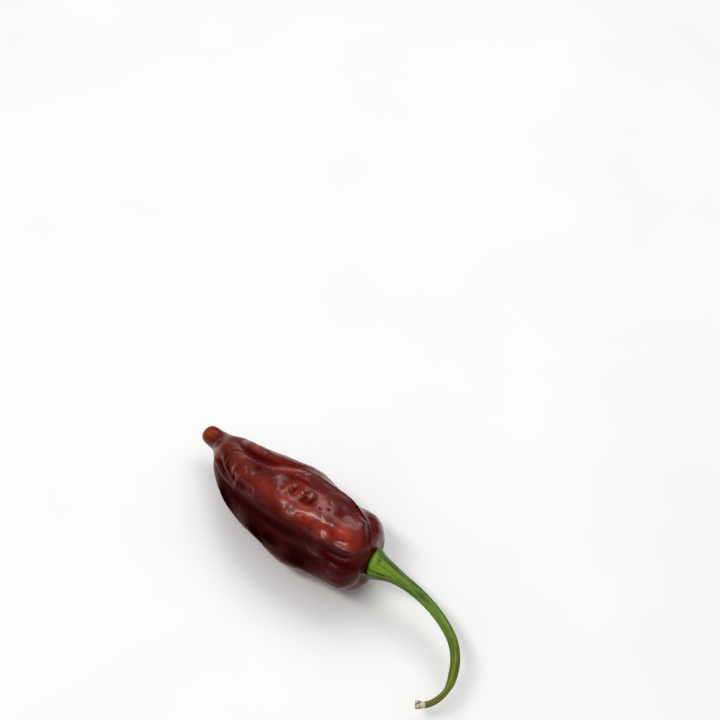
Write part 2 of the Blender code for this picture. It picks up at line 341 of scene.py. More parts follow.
draw = random.Random(WRINKLE_SEED)
height = np.zeros(len(along))
for row in NECK_CREASES + FAR_FURROW_CREASES + TROUGH_CREASES + FRONT_RIDGE_CREASES + SHOULDER_CREASES:
    height += stroke(*row)
for row in DIMPLES:
    height += dimple(*row)
for row in FACETS:
    height += facet(*row)
push_out(pod.data, height)
named = height
height = np.zeros(len(along))
for _ in range(WRINKLES):
    height += stroke(*random_wrinkle(draw))
for _ in range(PITS):
    place, bearing, size = draw.uniform(*WRINKLE_REGION), draw.uniform(-180, 180), draw.uniform(*PIT_SIZE)
    height += dimple(place, bearing, size * 1.3, size, draw.uniform(-1, 1) * PIT_HEIGHT)
body = ease(*BODY_FROM_TIP, along) * ease(*BODY_FROM_AXIS, radius)
push_out(pod.data, height * body)

# The seat of the calyx is a sunken ring in the shoulder, deepest under the calyx's lower side.
SEAT_RING_RADIUS = 5.4
SEAT_RING_HALF_WIDTH = 1.5
SEAT_RING_DEPTH = 0.7
SEAT_RING_REGION = (66.0, 70.0)
SEAT_DEEPEST_TOWARDS = 95.0
SEAT_EVEN_SHARE = 0.65
shoulder = ease(*SEAT_RING_REGION, along)
ring = np.exp(-(((radius - SEAT_RING_RADIUS) / SEAT_RING_HALF_WIDTH) ** 2)) * shoulder
uneven = (1 - SEAT_EVEN_SHARE) * np.cos(np.radians(turn - SEAT_DEEPEST_TOWARDS))
push_out(pod.data, -SEAT_RING_DEPTH * ring * (SEAT_EVEN_SHARE + uneven))

# Slow waves a few millimetres long and a finer grain, which break the shine up, as (length, height).
SKIN_WAVES = ((3.4, 0.18), (1.3, 0.07))
only(pod)
for wave_length, wave_height in SKIN_WAVES:
    waves = bpy.data.textures.new("skin_waves", "CLOUDS")
    waves.noise_scale = wave_length * MM
    waves.noise_depth = 1
    apply_modifier(
        pod, "DISPLACE", texture=waves, texture_coords="LOCAL", mid_level=0.5, strength=wave_height * MM,
    )
points = read_points(pod.data)
points[:, 2] = np.maximum(points[:, 2], 0.0)
place_points(pod.data, points)
bpy.ops.object.shade_smooth()


# Where the skin's colour changes, and where shade is painted on it, as (distance from the tip, turn, half
# length, half width, strength).
BLUSHES = (
    (63.8, 20.0, 3.2, 3.0, 0.95), (58.0, 28.0, 3.2, 2.4, 0.8), (52.0, 22.0, 4.0, 3.0, 0.65),
    (45.0, 20.0, 4.0, 2.6, 0.45), (37.0, 22.0, 6.0, 3.0, 0.3), (23.0, 8.0, 3.0, 2.0, 0.25),
    (68.0, 22.0, 2.0, 2.5, 0.6), (36.0, -18.0, 6.0, 3.0, 0.35), (45.0, 3.0, 4.0, 2.0, 0.5),
    (14.0, 45.0, 3.0, 3.0, 0.3), (55.0, 160.0, 6.0, 6.0, 0.5), (35.0, -120.0, 7.0, 6.0, 0.5),
    (41.6, 4.0, 1.2, 1.6, 0.6), (54.0, 0.0, 2.6, 2.4, 0.35),
)
# The dark places are painted shade: near-black over the shaded lower lobe and in hollows, creases and small
# pits.
PAINTED_SHADE_PLACES = (
    (26.0, 88.0, 12.0, 8.0, 1.0), (40.0, 85.0, 10.0, 10.0, 1.0), (54.0, 82.0, 9.0, 9.0, 0.95),
    (67.0, 80.0, 6.0, 9.0, 0.5), (45.0, 75.0, 7.0, 4.0, 1.0), (58.0, -110.0, 9.0, 9.0, 0.6),
    (25.0, -150.0, 8.0, 8.0, 0.5), (18.4, 46.0, 1.2, 2.0, 0.35), (26.2, 46.0, 1.0, 2.4, 0.45),
    (23.2, 50.0, 1.0, 2.4, 0.4), (30.2, 42.0, 2.4, 1.9, 0.5), (36.5, 40.0, 4.0, 2.0, 0.5),
    (30.2, 4.5, 1.3, 1.4, 0.6), (44.2, 3.5, 1.1, 1.5, 0.6), (48.4, 5.5, 0.9, 1.9, 0.6),
    (50.6, 5.5, 0.9, 1.7, 0.6), (41.4, -6.0, 1.6, 1.2, 0.35), (68.3, -20.0, 0.6, 0.6, 0.5),
    (54.3, 6.5, 0.4, 0.4, 0.8), (56.5, 0.0, 0.4, 0.35, 0.8), (65.2, -9.0, 0.7, 0.25, 0.6),
    (66.2, -12.5, 0.8, 0.30, 0.7), (66.8, -17.0, 0.6, 0.35, 0.7), (63.4, -1.0, 0.8, 0.2, 0.4),
    (64.8, -1.5, 0.5, 0.2, 0.4),
)
# Pale places and pale bands are painted highlight and painted reflection, and the bands, as (half width,
# strength, path), run along the ridges between the creases.
PAINTED_HIGHLIGHT_PLACES = (
    (17.0, 6.0, 3.5, 3.0, 0.22), (18.6, -26.5, 2.8, 1.1, 1.0), (22.8, -25.0, 3.2, 1.1, 1.0),
    (54.2, -2.0, 2.8, 3.2, 0.34), (65.6, -6.0, 2.4, 2.3, 0.25), (48.0, 30.5, 2.2, 1.8, 0.55),
    (58.8, 30.0, 1.6, 1.4, 0.45), (65.5, 29.0, 2.6, 1.2, 0.5), (38.2, 3.0, 0.7, 1.0, 0.85),
    (43.0, 9.0, 0.8, 1.6, 0.35), (47.4, -6.0, 1.6, 1.0, 0.35),
)
PAINTED_HIGHLIGHT_BANDS = (
    (0.42, 1.00, ((24.2, 20), (25.4, 30), (25.2, 38), (24.6, 48))),
    (0.48, 1.00, ((28.2, 28), (28.0, 38), (27.2, 50), (26.4, 57))),
    (0.38, 0.75, ((20.6, 26), (21.0, 36), (21.0, 48))),
    (0.45, 0.65, ((12.0, 66), (17.0, 67.5), (21.0, 67.5), (24.5, 63), (28.5, 58))),
    (0.35, 0.80, ((41.6, 2), (42.3, 8), (43.4, 12), (45.0, 15))),
    (0.30, 0.35, ((46.2, 0), (46.4, 6), (46.7, 13))),
    (0.40, 0.35, ((30.6, 46), (33.0, 45), (36.0, 46))),
    (0.9, 0.35, ((16.0, 84), (19.0, 86), (22.5, 84))),
    (0.40, 0.45, ((62.4, 33.5), (64.6, 33), (66.8, 30), (68.4, 28))),
    (0.30, 0.60, ((70.4, -28), (71.0, -42), (71.3, -60))),
    (0.25, 0.55, ((68.8, -44), (70.0, -54), (71.0, -70))),
)
# Dull skin lies too deep in a fold, or is too crumpled, to shine.
DULL_PLACES = (
    (44.4, 3.5, 1.2, 1.9, 1.0), (48.4, 5.5, 1.1, 2.3, 1.0), (50.6, 5.5, 1.0, 2.0, 1.0),
    (30.4, 4.5, 1.5, 1.7, 0.8), (41.3, 4.0, 1.0, 2.0, 0.7), (59.9, -3.0, 1.6, 2.4, 0.5),
    (36.5, 41.0, 4.0, 2.2, 0.7), (3.0, 0.0, 4.5, 4.0, 0.6), (13.0, -12.0, 4.0, 5.0, 0.7),
    (49.6, 8.0, 1.4, 2.2, 0.9),
)
DULL_BANDS = (
    (1.5, 0.85, ((36.5, -3), (39.6, -8), (43.0, -11), (46.5, -12), (51.0, -11))),
    (2.6, 0.95, ((56.0, 52), (60.0, 54), (64.0, 56), (69.0, 54), (73.0, 50))),
    (2.0, 1.00, (
        (11.0, 8), (14.5, 20), (18.8, 28), (21.5, 36), (24.6, 43), (28.0, 46), (34.0, 42), (38.0, 40),
    )),
    (1.7, 1.00, ((12.0, 44), (16.0, 51), (20.0, 54), (25.0, 53))),
    (1.4, 1.00, (
        (13.0, -26), (17.0, -19), (20.5, -16), (25.0, -15), (29.0, -18), (32.5, -21), (37.0, -30),
        (41.0, -40),
    )),
    (1.6, 1.00, ((50.0, -60), (56.0, -50), (61.6, -37), (67.1, -27), (69.5, -20))),
    (1.9, 0.60, ((14.2, 56), (14.8, 40), (16.5, 16), (19.5, 2), (21.5, -8), (23.0, -14))),
    (2.6, 0.90, (
        (24.0, -20), (31.0, -25), (36.0, -31), (40.0, -36), (46.0, -38), (54.0, -42), (62.0, -36),
        (67.0, -22),
    )),
    (1.6, 0.50, ((28.0, -6), (33.0, -10), (38.0, -20), (43.0, -28))),
    (2.4, 0.75, ((28.0, 52), (36.0, 47), (43.0, 41), (50.0, 41), (56.0, 42))),
    (1.7, 0.90, ((66.5, -34), (69.8, -22), (70.6, -6), (70.4, 8))),
)
# Turns over which the dull lower lobe comes to shine again, at its rim near the floor.
LOWER_RIM = (92.0, 106.0)
UNDERSIDE = 180.0
# Painted shade in bands along the furrows and over the lower lobe, as (half width, strength, path).
PAINTED_SHADE_BANDS = (
    (1.3, 0.35, (
        (13.0, -26), (17.0, -19), (20.5, -16), (25.0, -15), (29.0, -18), (32.5, -21), (37.0, -30),
        (41.0, -40),
    )),
    (1.9, 0.18, ((50.0, -60), (56.0, -50), (61.6, -37), (67.1, -27), (69.5, -20), (70.8, -10))),
    (5.5, 0.75, ((14.0, 90), (28.0, 88), (42.0, 86), (54.0, 84), (64.0, 84))),
    (2.6, 0.85, (
        (10.0, 70), (18.0, 72), (26.0, 70), (34.0, 62), (42.0, 57), (50.0, 55), (56.0, 55), (60.0, 56),
    )),
    (2.2, 0.45, ((33.0, 47), (38.0, 44), (44.0, 41), (50.0, 41), (56.0, 41))),
    (2.0, 0.55, ((55.5, 43), (59.0, 44), (61.6, 46), (64.4, 46), (66.8, 42), (69.0, 37))),
)
# Depths at which a hollow and a furrow are at their darkest: their darker red is painted shade, and partly
# the skin's own deeper red.
DEEP_HOLLOW = 0.6
DEEP_FURROW = 2.6
# The orange nub at the tip, its lighter side, and the brown scar of the flower at its very end.
NUB_REGION = (4.0, 9.5)
NUB_LIGHT = (2.6, 20.0, 2.6, 2.4, 1.0)
SCAR_RADII = (0.4, 1.1)
# The skin past these distances from the tip counts as further from the scar, so the shoulder has none.
SCAR_ENDS = (2.0, 5.0)
PAST_SCAR = 3.0


def patches(rows):
    """The strongest of several soft patches at each point of the skin."""
    total = np.zeros(len(along))
    for row in rows:
        total = np.maximum(total, dimple(*row))
    return total


def keep_for_material(mesh, name, values):
    """Stores one number for each point, for a material to read."""
    layer = mesh.attributes.new(name, "FLOAT", "POINT")
    layer.data.foreach_set("value", np.clip(values, 0.0, 1.0).astype(np.float32))


keep_for_material(pod.data, "blush", patches(BLUSHES))
# The painted shade darkens the skin's colour, and it dulls the shine as well.
painted_shade = patches(PAINTED_SHADE_PLACES)
for row in PAINTED_SHADE_BANDS:
    painted_shade = np.maximum(painted_shade, stroke(*row))
dull = np.maximum(painted_shade, patches(DULL_PLACES))
for row in DULL_BANDS:
    dull = np.maximum(dull, stroke(*row))
rim = ease(*LOWER_RIM, turn) * (turn < UNDERSIDE)
dull *= 1 - rim
keep_for_material(pod.data, "painted_shade", painted_shade)
keep_for_material(pod.data, "dull", dull)
# Painted highlight: pale pink laid into the skin where its glints and reflections fall.
painted_highlight = patches(PAINTED_HIGHLIGHT_PLACES)
for row in PAINTED_HIGHLIGHT_BANDS:
    painted_highlight = np.maximum(painted_highlight, stroke(*row))
keep_for_material(pod.data, "painted_highlight", painted_highlight)
# The hollows and furrows darken with their depth: painted shade, and partly the skin's own deeper red.
keep_for_material(pod.data, "hollow", -named / DEEP_HOLLOW)
keep_for_material(pod.data, "furrow", sunk / DEEP_FURROW)
keep_for_material(pod.data, "nub", 1 - ease(*NUB_REGION, along))
keep_for_material(pod.data, "nub_light", dimple(*NUB_LIGHT))
from_scar = radius + PAST_SCAR * ease(*SCAR_ENDS, along)
keep_for_material(pod.data, "scar", 1 - ease(*SCAR_RADII, from_scar))


def linear(hex_colour):
    """An sRGB hex colour as linear red, green, blue and alpha."""
    parts = [int(hex_colour[i : i + 2], 16) / 255 for i in (1, 3, 5)]
    return (*(c / 12.92 if c <= 0.04045 else ((c + 0.055) / 1.055) ** 2.4 for c in parts), 1.0)


def node(tree, kind, inputs=(), **settings):
    """Adds a node with its settings, and fills its inputs with values or with other nodes' outputs."""
    new = tree.nodes.new(kind)
    for name, value in settings.items():
        setattr(new, name, value)
    for name, value in dict(inputs).items():
        if isinstance(value, bpy.types.NodeSocket):
            tree.links.new(value, new.inputs[name])
        else:
            new.inputs[name].default_value = value
    return new


# Waxy pepper skin, grown and ripened from green through chocolate to red: a soft sheen from the uneven wax,
# with small sharp glints from its smooth top film. Deep in the folds it is dull, down to no shine at all.
WAXY_SKIN_IOR = 1.40
SKIN_ROUGHNESS = (0.27, 0.36)
DULL_ADDS_ROUGHNESS = 0.24
SKIN_SPECULAR = 0.50
TOP_FILM = 0.30
TOP_FILM_ROUGHNESS = 0.14
NO_SHINE_FROM = 0.95
# The near-black is painted shade, the pale pink painted highlight, and the furrow red both painted shade and
# the skin's own streaks.
CHOCOLATE, BROWN_RED, BLUSH_RED = "#54120B", "#64190F", "#B23C24"
SHADE_AND_STREAK_RED, SHADE_BLACK, HIGHLIGHT_PINK = "#420605", "#140302", "#8C4E46"
NUB_ORANGE, NUB_BROWN, SCAR_BROWN = "#8A3A1C", "#58160C", "#5A4030"
# Sizes of the blotches of colour, of the streaks along the pod and of the speckle in its wax, and the depth
# of its grain, in millimetres.
BLOTCH, STREAK_LENGTH, STREAK_WIDTH, SPECKLE, GRAIN_DEPTH = 9.0, 5.0, 1.0, 0.7, 0.06
GRAIN_STRENGTH = 0.2
# The parts of their noise in which the colours, the marks and the waxing change.
BLOTCHES, STREAKS, HIGHLIGHT_SPECKLE, RED_SPECKLE = (0.35, 0.65), (0.52, 0.75), (0.38, 0.62), (0.62, 0.8)
WAXING = (0.3, 0.7)
# How strongly the marks colour the skin, the painted shade among them, and the painted highlight where it is
# faintest.
STREAK_SHARE, FURROW_SHADE_SHARE, HOLLOW_SHADE_SHARE, PAINTED_SHADE_SHARE, RED_SPECKLE_SHARE = 0.35, 0.55, 0.6, 0.85, 0.25
FAINTEST_HIGHLIGHT = 0.4
waxy = bpy.data.materials.new("waxy_pepper_skin")
waxy.use_nodes = True
tree = waxy.node_tree
tree.nodes.clear()
where = node(tree, "ShaderNodeTexCoord").outputs["Object"]
cloudy = node(
    tree, "ShaderNodeTexNoise",
    {"Vector": where, "Scale": 1 / (BLOTCH * MM), "Detail": 3.0, "Roughness": 0.55},
)
streak_scale = (1 / (STREAK_LENGTH * MM), 1 / (STREAK_WIDTH * MM), 1 / (STREAK_WIDTH * MM))
grown_along = node(tree, "ShaderNodeMapping", {"Vector": where, "Scale": streak_scale})
streaky = node(tree, "ShaderNodeTexNoise", {"Vector": grown_along.outputs[0], "Scale": 1.0, "Detail": 4.0})
speckle = node(tree, "ShaderNodeTexNoise", {"Vector": where, "Scale": 1 / (SPECKLE * MM), "Detail": 2.0})


def colour_mix(tree, share, below, above):
    """One colour laid over another by a share, from 0 for the one below to 1 for the one above."""
    return node(tree, "ShaderNodeMix", {0: share, 6: below, 7: above}, data_type="RGBA").outputs[2]


def stored(tree, name):
    """A number that keep_for_material stored on the mesh."""
    return node(tree, "ShaderNodeAttribute", attribute_name=name).outputs["Fac"]


def spread(tree, value, low, high, to_low=0.0, to_high=1.0):
    """A value stretched from one range to another, and held inside it."""
    return node(tree, "ShaderNodeMapRange", {0: value, 1: low, 2: high, 3: to_low, 4: to_high}).outputs[0]


def product(tree, one, other):
    return node(tree, "ShaderNodeMath", {0: one, 1: other}, operation="MULTIPLY").outputs[0]


skin = colour_mix(tree, spread(tree, cloudy.outputs[0], *BLOTCHES), linear(CHOCOLATE), linear(BROWN_RED))
streaks = spread(tree, streaky.outputs[0], *STREAKS, 0.0, STREAK_SHARE)
skin = colour_mix(tree, streaks, skin, linear(SHADE_AND_STREAK_RED))
skin = colour_mix(tree, stored(tree, "blush"), skin, linear(BLUSH_RED))
# Painted shade in the furrows and hollows, in a darker red; the same red also colours the streaks above.
skin = colour_mix(tree, product(tree, stored(tree, "furrow"), FURROW_SHADE_SHARE), skin, linear(SHADE_AND_STREAK_RED))
skin = colour_mix(tree, product(tree, stored(tree, "hollow"), HOLLOW_SHADE_SHARE), skin, linear(SHADE_AND_STREAK_RED))
# Painted shade: near-black where the skin lies in shade.
skin = colour_mix(tree, product(tree, stored(tree, "painted_shade"), PAINTED_SHADE_SHARE), skin, linear(SHADE_BLACK))
# Painted highlight: pale pink, broken up by the speckle.
highlight_speckle = spread(tree, speckle.outputs[0], *HIGHLIGHT_SPECKLE, FAINTEST_HIGHLIGHT)
painted_highlight_share = product(tree, stored(tree, "painted_highlight"), highlight_speckle)
skin = colour_mix(tree, painted_highlight_share, skin, linear(HIGHLIGHT_PINK))
skin = colour_mix(tree, stored(tree, "nub"), skin, linear(NUB_BROWN))
skin = colour_mix(tree, stored(tree, "nub_light"), skin, linear(NUB_ORANGE))
skin = colour_mix(tree, stored(tree, "scar"), skin, linear(SCAR_BROWN))
red_speckle = spread(tree, speckle.outputs[0], *RED_SPECKLE, 0.0, RED_SPECKLE_SHARE)
skin = colour_mix(tree, red_speckle, skin, linear(BROWN_RED))
grain = node(
    tree, "ShaderNodeBump",
    {"Height": speckle.outputs[0], "Strength": GRAIN_STRENGTH, "Distance": GRAIN_DEPTH * MM},
)
waxing = spread(tree, cloudy.outputs[0], *WAXING, *SKIN_ROUGHNESS)
dulling = product(tree, stored(tree, "dull"), DULL_ADDS_ROUGHNESS)
roughness = node(tree, "ShaderNodeMath", {0: waxing, 1: dulling}, operation="ADD").outputs[0]
specular = spread(tree, stored(tree, "dull"), 0.0, NO_SHINE_FROM, SKIN_SPECULAR, 0.0)
film = spread(tree, stored(tree, "dull"), 0.0, NO_SHINE_FROM, TOP_FILM, 0.0)
shader = node(
    tree, "ShaderNodeBsdfPrincipled",
    {
        "Base Color": skin, "Roughness": roughness, "IOR": WAXY_SKIN_IOR, "Normal": grain.outputs[0],
        "Specular IOR Level": specular, "Coat Weight": film, "Coat Roughness": TOP_FILM_ROUGHNESS,
    },
)
node(tree, "ShaderNodeOutputMaterial", {"Surface": shader.outputs[0]})
pod.data.materials.clear()
pod.data.materials.append(waxy)
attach(pod, "root")
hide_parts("pod")


# The stem: the calyx and the stalk, one green piece of soft wood. The calyx flares to a thin rim that stands
# a little off the pod's shoulder, and its five ribs run on along the stalk to the cut at its flared end. A
# cylinder is cut into rings, which are strung along the part's own route.
STEM_ROUTE = (
    (67.0, 1.6, 13.4), (71.6, 1.8, 13.2), (78.5, 2.7, 12.7), (89.8, 3.2, 11.4), (97.5, 1.8, 10.5),
    (103.8, -1.3, 9.8), (108.4, -6.2, 8.7), (110.6, -11.1, 7.8), (110.8, -15.4, 7.0), (109.4, -18.9, 6.4),
    (106.9, -21.0, 6.0),
)
STEM_LENGTH = 63.0
ROUTE_STEP = 0.01
STEM_PROFILE = (
    (2.6, 0.0), (2.6, 1.8), (2.7, 3.2), (3.6, 3.6), (4.1, 3.9), (4.3, 4.25), (4.6, 4.45), (5.0, 4.5),
    (5.5, 4.35), (6.5, 3.95), (8.0, 3.4), (10.0, 2.85), (11.8, 2.42), (15.0, 1.97), (19.0, 1.66),
    (24.0, 1.37), (32.0, 1.12), (40.0, 1.2), (46.0, 1.23), (50.5, 1.08), (53.0, 0.92), (57.0, 0.9),
    (60.5, 0.95), (62.2, 1.12), (62.9, 1.24), (63.05, 1.15), (62.95, 0.95), (62.7, 0.6), (62.75, 0.0),
)
STEM_RINGS = 330
STEM_SIDES = 64
# The ribs: how many, the first one's turn, their twist in degrees to a millimetre and half width in degrees,
# how angular they make the stem and how far its corners stand out, and where they begin and fade.
RIBS = 5
RIB_AT = -10.0
RIB_TWIST = 0.35
RIB_HALF_WIDTH = 12.0
ANGLED = 0.42
RIB_CORNER = 1.09
RIBS_BEGIN = (4.6, 6.5)
RIBS_FADE = (45.0, 60.0)
RIBS_FADE_BY = 0.55
# The calyx's rim: its place, its lean, where it begins and ends, and its waves, as (height, how many, turn of
# the first).
RIM_AT = 4.5
RIM_LEAN = 0.20
RIM_LEAN_TOWARDS = 32.0
LEAN_ENDS = (6.0, 13.0)
RIM_BEGINS = (3.6, 4.6)
RIM_ENDS = (5.0, 7.5)
RIM_WAVES = ((0.12, 5, 30.0), (0.08, 2, -50.0))
# The stem's last millimetre, over which the ribs give way to the cut, and the cut face itself.
CUT_REGION = (61.6, 62.7)
CUT_FACE = (62.5, 62.9)
CUT_END_OF_ROD = 0.45
CUT_PITS_FROM_MIDDLE = (0.1, 0.85)
# The thickness over which the relief comes in, so that the closed ends stay smooth.
RELIEF_COMES_IN = (0.2, 0.8)
# The stalk is stouter on its near, lower side, as (distance from its root, how much).
STOUTER = (
    (0.0, 0.0), (13.0, 0.0), (21.5, 0.36), (27.0, 0.62), (30.0, 0.76), (33.0, 0.74), (35.5, 0.68),
    (38.0, 0.56), (40.5, 0.42), (45.0, 0.27), (48.5, 0.28), (52.0, 0.0), (64.0, 0.0),
)
STOUTER_TOWARDS = 105.0

bpy.ops.object.select_all(action="DESELECT")
bpy.ops.mesh.primitive_cylinder_add(vertices=STEM_SIDES, radius=1.0, depth=1.0, end_fill_type="NOTHING")
stem = bpy.context.object
stem.name = stem.data.name = "green_stem"
bpy.ops.object.mode_set(mode="EDIT")
shape = bmesh.from_edit_mesh(stem.data)
for edge in shape.edges:
    runs_along = abs(edge.verts[0].co.z - edge.verts[1].co.z) > 0.5
    edge.select_set(runs_along)
bmesh.update_edit_mesh(stem.data)
bpy.ops.mesh.subdivide(number_cuts=STEM_RINGS)
bpy.ops.object.mode_set(mode="OBJECT")
rod = read_points(stem.data)
stem_turn = np.degrees(np.arctan2(rod[:, 1], rod[:, 0]))
reach, thickness = along_outline(STEM_PROFILE, rod[:, 2] + 0.5).T
thickness = np.maximum(thickness, 0.0)


def stem_apart(place, bearing):
    """How far each point of the stem lies from a place, along it and round it, in millimetres."""
    return reach - place, np.radians((stem_turn - bearing + 180) % 360 - 180) * np.maximum(thickness, 0.3)


def stem_mark(place, bearing, half_length, half_width, height):
    """A soft dent or lump on the stem."""
    ahead, across = stem_apart(place, bearing)
    return height * np.exp(-((ahead / half_length) ** 2) - (across / half_width) ** 2)


from_rib = (stem_turn - RIB_AT - RIB_TWIST * reach + 180 / RIBS) % (360 / RIBS) - 180 / RIBS
pentagon = 1 / np.cos(np.radians(180 / RIBS - np.abs(from_rib)))
pentagon = pentagon / RIB_CORNER
on_rib = np.exp(-((from_rib / RIB_HALF_WIDTH) ** 2))
# Marks along the stem, as (distance from its root, turn, half length, half width, height).
STEM_MARKS = (
    (22.2, 32.0, 3.0, 0.65, -0.30), (22.0, 62.0, 3.4, 0.5, 0.12), (22.5, -12.0, 3.4, 0.5, 0.14),
    (6.1, 10.0, 0.5, 0.6, -0.12), (6.6, 14.0, 0.25, 0.5, -0.14), (51.0, -40.0, 1.3, 0.9, 0.26),
    (53.2, 100.0, 1.4, 0.8, -0.12), (10.0, 30.0, 4.0, 0.8, -0.16), (36.0, 60.0, 4.0, 0.5, -0.08),
    (15.0, 120.0, 5.0, 0.9, -0.12),
)
relief = np.zeros(len(reach))
for row in STEM_MARKS:
    relief += stem_mark(*row)
angled = ANGLED * ease(*RIBS_BEGIN, reach) * (1 - RIBS_FADE_BY * ease(*RIBS_FADE, reach))
cut = ease(*CUT_REGION, reach)
wavy_rim = sum(size * np.cos(np.radians(stem_turn * number - first)) for size, number, first in RIM_WAVES)
at_rim = ease(*RIM_BEGINS, reach) * (1 - ease(*RIM_ENDS, reach))
thick = thickness * (1 + angled * (1 - cut) * (pentagon - 1))
thick += relief * ease(*RELIEF_COMES_IN, thickness) + wavy_rim * at_rim
thick += np.interp(reach, *zip(*STOUTER)) * (0.5 + 0.5 * np.cos(np.radians(stem_turn - STOUTER_TOWARDS)))

share = reach / STEM_LENGTH
centre = along_outline(STEM_ROUTE, np.minimum(share, 1.0))
ahead = along_outline(STEM_ROUTE, np.minimum(share + ROUTE_STEP, 1))
ahead -= along_outline(STEM_ROUTE, np.maximum(share - ROUTE_STEP, 0))
ahead /= np.linalg.norm(ahead, axis=1)[:, None]
sideways = np.cross(ahead, (0.0, 0.0, 1.0))
sideways /= np.linalg.norm(sideways, axis=1)[:, None]
upwards = np.cross(sideways, ahead)
spoke = np.radians(stem_turn)
ring = np.cos(spoke)[:, None] * upwards + np.sin(spoke)[:, None] * sideways
lean = SHOULDER_LEAN * np.cos(spoke - math.radians(SHOULDER_LEAN_TOWARDS))
lean += RIM_LEAN * np.cos(spoke - math.radians(RIM_LEAN_TOWARDS))
lean *= thick * (1 - ease(*LEAN_ENDS, reach))
places = centre + thick[:, None] * ring + lean[:, None] * ahead
# The cut face is torn a little, and its pith is pitted.
CUT_SEED = 11
CUT_PITS = 14
CUT_PIT_DEPTH = (0.12, 0.3)
CUT_PIT_SIZE = (0.1, 0.2)
draw = random.Random(CUT_SEED)
pits = np.zeros(len(reach))
on_cut = ease(*CUT_FACE, reach) * (rod[:, 2] > CUT_END_OF_ROD)
for _ in range(CUT_PITS):
    far, bearing = draw.uniform(*CUT_PITS_FROM_MIDDLE), math.radians(draw.uniform(0, 360))
    x, y = far * math.cos(bearing), far * math.sin(bearing)
    gap = np.hypot(thick * np.cos(spoke) - x, thick * np.sin(spoke) - y)
    pits += draw.uniform(*CUT_PIT_DEPTH) * np.exp(-((gap / draw.uniform(*CUT_PIT_SIZE)) ** 2))
places -= (pits * on_cut)[:, None] * ahead
place_points(stem.data, (places + POD_AT) * MM)
only(stem)
bpy.ops.object.mode_set(mode="EDIT")
bpy.ops.mesh.select_all(action="SELECT")
bpy.ops.mesh.remove_doubles(threshold=0.002 * MM)
bpy.ops.mesh.normals_make_consistent(inside=False)
bpy.ops.object.mode_set(mode="OBJECT")
stem.data.update()

# Doubles were merged, so each point's place along the stem is read again from the nearest one before that.
finder = KDTree(len(places))
for number, place in enumerate((places + POD_AT) * MM):
    finder.insert(place, number)
finder.balance()
old = np.array([finder.find(v.co)[1] for v in stem.data.vertices])
pits = pits * on_cut
reach, thickness, stem_turn, on_rib, pits = (v[old] for v in (reach, thickness, stem_turn, on_rib, pits))

# Where the stem's colour changes, as (distance from its root, turn, half length, half width, strength): the
# dents are painted shade.
SHADED_DENTS = (
    (22.2, 31.0, 3.2, 0.75, 1.0), (32.0, 62.0, 3.0, 0.5, 0.6), (13.0, 62.0, 6.0, 0.4, 0.5),
)
STEM_SCARS = ((6.1, 10.0, 0.35, 0.5, 0.9), (7.0, 16.0, 0.2, 0.4, 0.7))
DEEP_PIT = 0.2
# The turns between which the calyx's lower and far faces lie, which are painted darker as painted shade, and
# where the calyx ends along the stem.
LOW_FACE = ((50.0, 62.0), (150.0, 175.0))
FAR_FACE = ((-165.0, -140.0), (-14.0, 8.0))
CALYX_ENDS = (14.0, 24.0)
FAR_SHADE_ENDS = (20.0, 30.0)
RIM_LIGHT_HALF_WIDTH = 0.3
# Below the rim, where the calyx sinks into its seat, it is painted dark: painted shade.
UNDER_RIM = (3.6, 4.2)
BARED_BAND = (60.0, 60.9)
BARED_END = (60.9, 61.9)
on_calyx = 1 - ease(*CALYX_ENDS, reach)
low_face = ease(*LOW_FACE[0], stem_turn) * (1 - ease(*LOW_FACE[1], stem_turn))
far_face = (1 - ease(*FAR_FACE[1], stem_turn)) * ease(*FAR_FACE[0], stem_turn)
dent = sum(stem_mark(*row) for row in SHADED_DENTS)
scar = sum(stem_mark(*row) for row in STEM_SCARS)
keep_for_material(stem.data, "along", reach / STEM_LENGTH)
keep_for_material(stem.data, "round_cos", 0.5 + 0.5 * np.cos(np.radians(stem_turn)))
keep_for_material(stem.data, "round_sin", 0.5 + 0.5 * np.sin(np.radians(stem_turn)))
keep_for_material(stem.data, "rib", on_rib)
keep_for_material(stem.data, "shaded_lower_side", low_face * on_calyx)
keep_for_material(stem.data, "shaded_far_side", far_face * (1 - 0.8 * ease(*FAR_SHADE_ENDS, reach)))
keep_for_material(stem.data, "shaded_dent", dent)
keep_for_material(stem.data, "scar", scar)
keep_for_material(stem.data, "rim", np.exp(-(((reach - RIM_AT) / RIM_LIGHT_HALF_WIDTH) ** 2)))
keep_for_material(stem.data, "shade_under_rim", 1 - ease(*UNDER_RIM, reach))
keep_for_material(stem.data, "cut_band", ease(*BARED_BAND, reach))
keep_for_material(stem.data, "cut", ease(*BARED_END, reach))
keep_for_material(stem.data, "pit", pits / DEEP_PIT)
bpy.ops.object.shade_smooth()

# Green plant stem: a satin skin over long fibres, so its light and dark streaks run along it. It turns olive
# and then brown towards the cut, where it dried, and the bared wood is pale straw.
STEM_SKIN_IOR = 1.42
STEM_ROUGHNESS = (0.46, 0.62)
# The shade green is painted shade on the calyx's lower and far faces and under its rim, and also the colour
# of the dark fibres and blotches.
CALYX_GREEN, SHADE_AND_DARK_FIBRE_GREEN, RIM_GREEN = "#6D8C25", "#31460D", "#8FA850"
STALK_GREEN, DENT_SHADE_GREEN, RIB_LIGHT = "#587516", "#2E5404", "#86A23C"
OLIVE, DRY_BROWN, PALE_WOOD, PIT_BROWN = "#626B1E", "#66562A", "#CFC3AC", "#3A2C20"
# Sizes of the blotches and of the torn edge and the depth of the fibres, in millimetres, and how often the
# fibres change along the stem and across it.
STEM_BLOTCH, TORN_EDGE, FIBRE_DEPTH = 2.2, 0.7, 0.06
FIBRES_ALONG, FIBRES_ACROSS = 9.0, 11.0
FIBRE_STRENGTH = 0.35
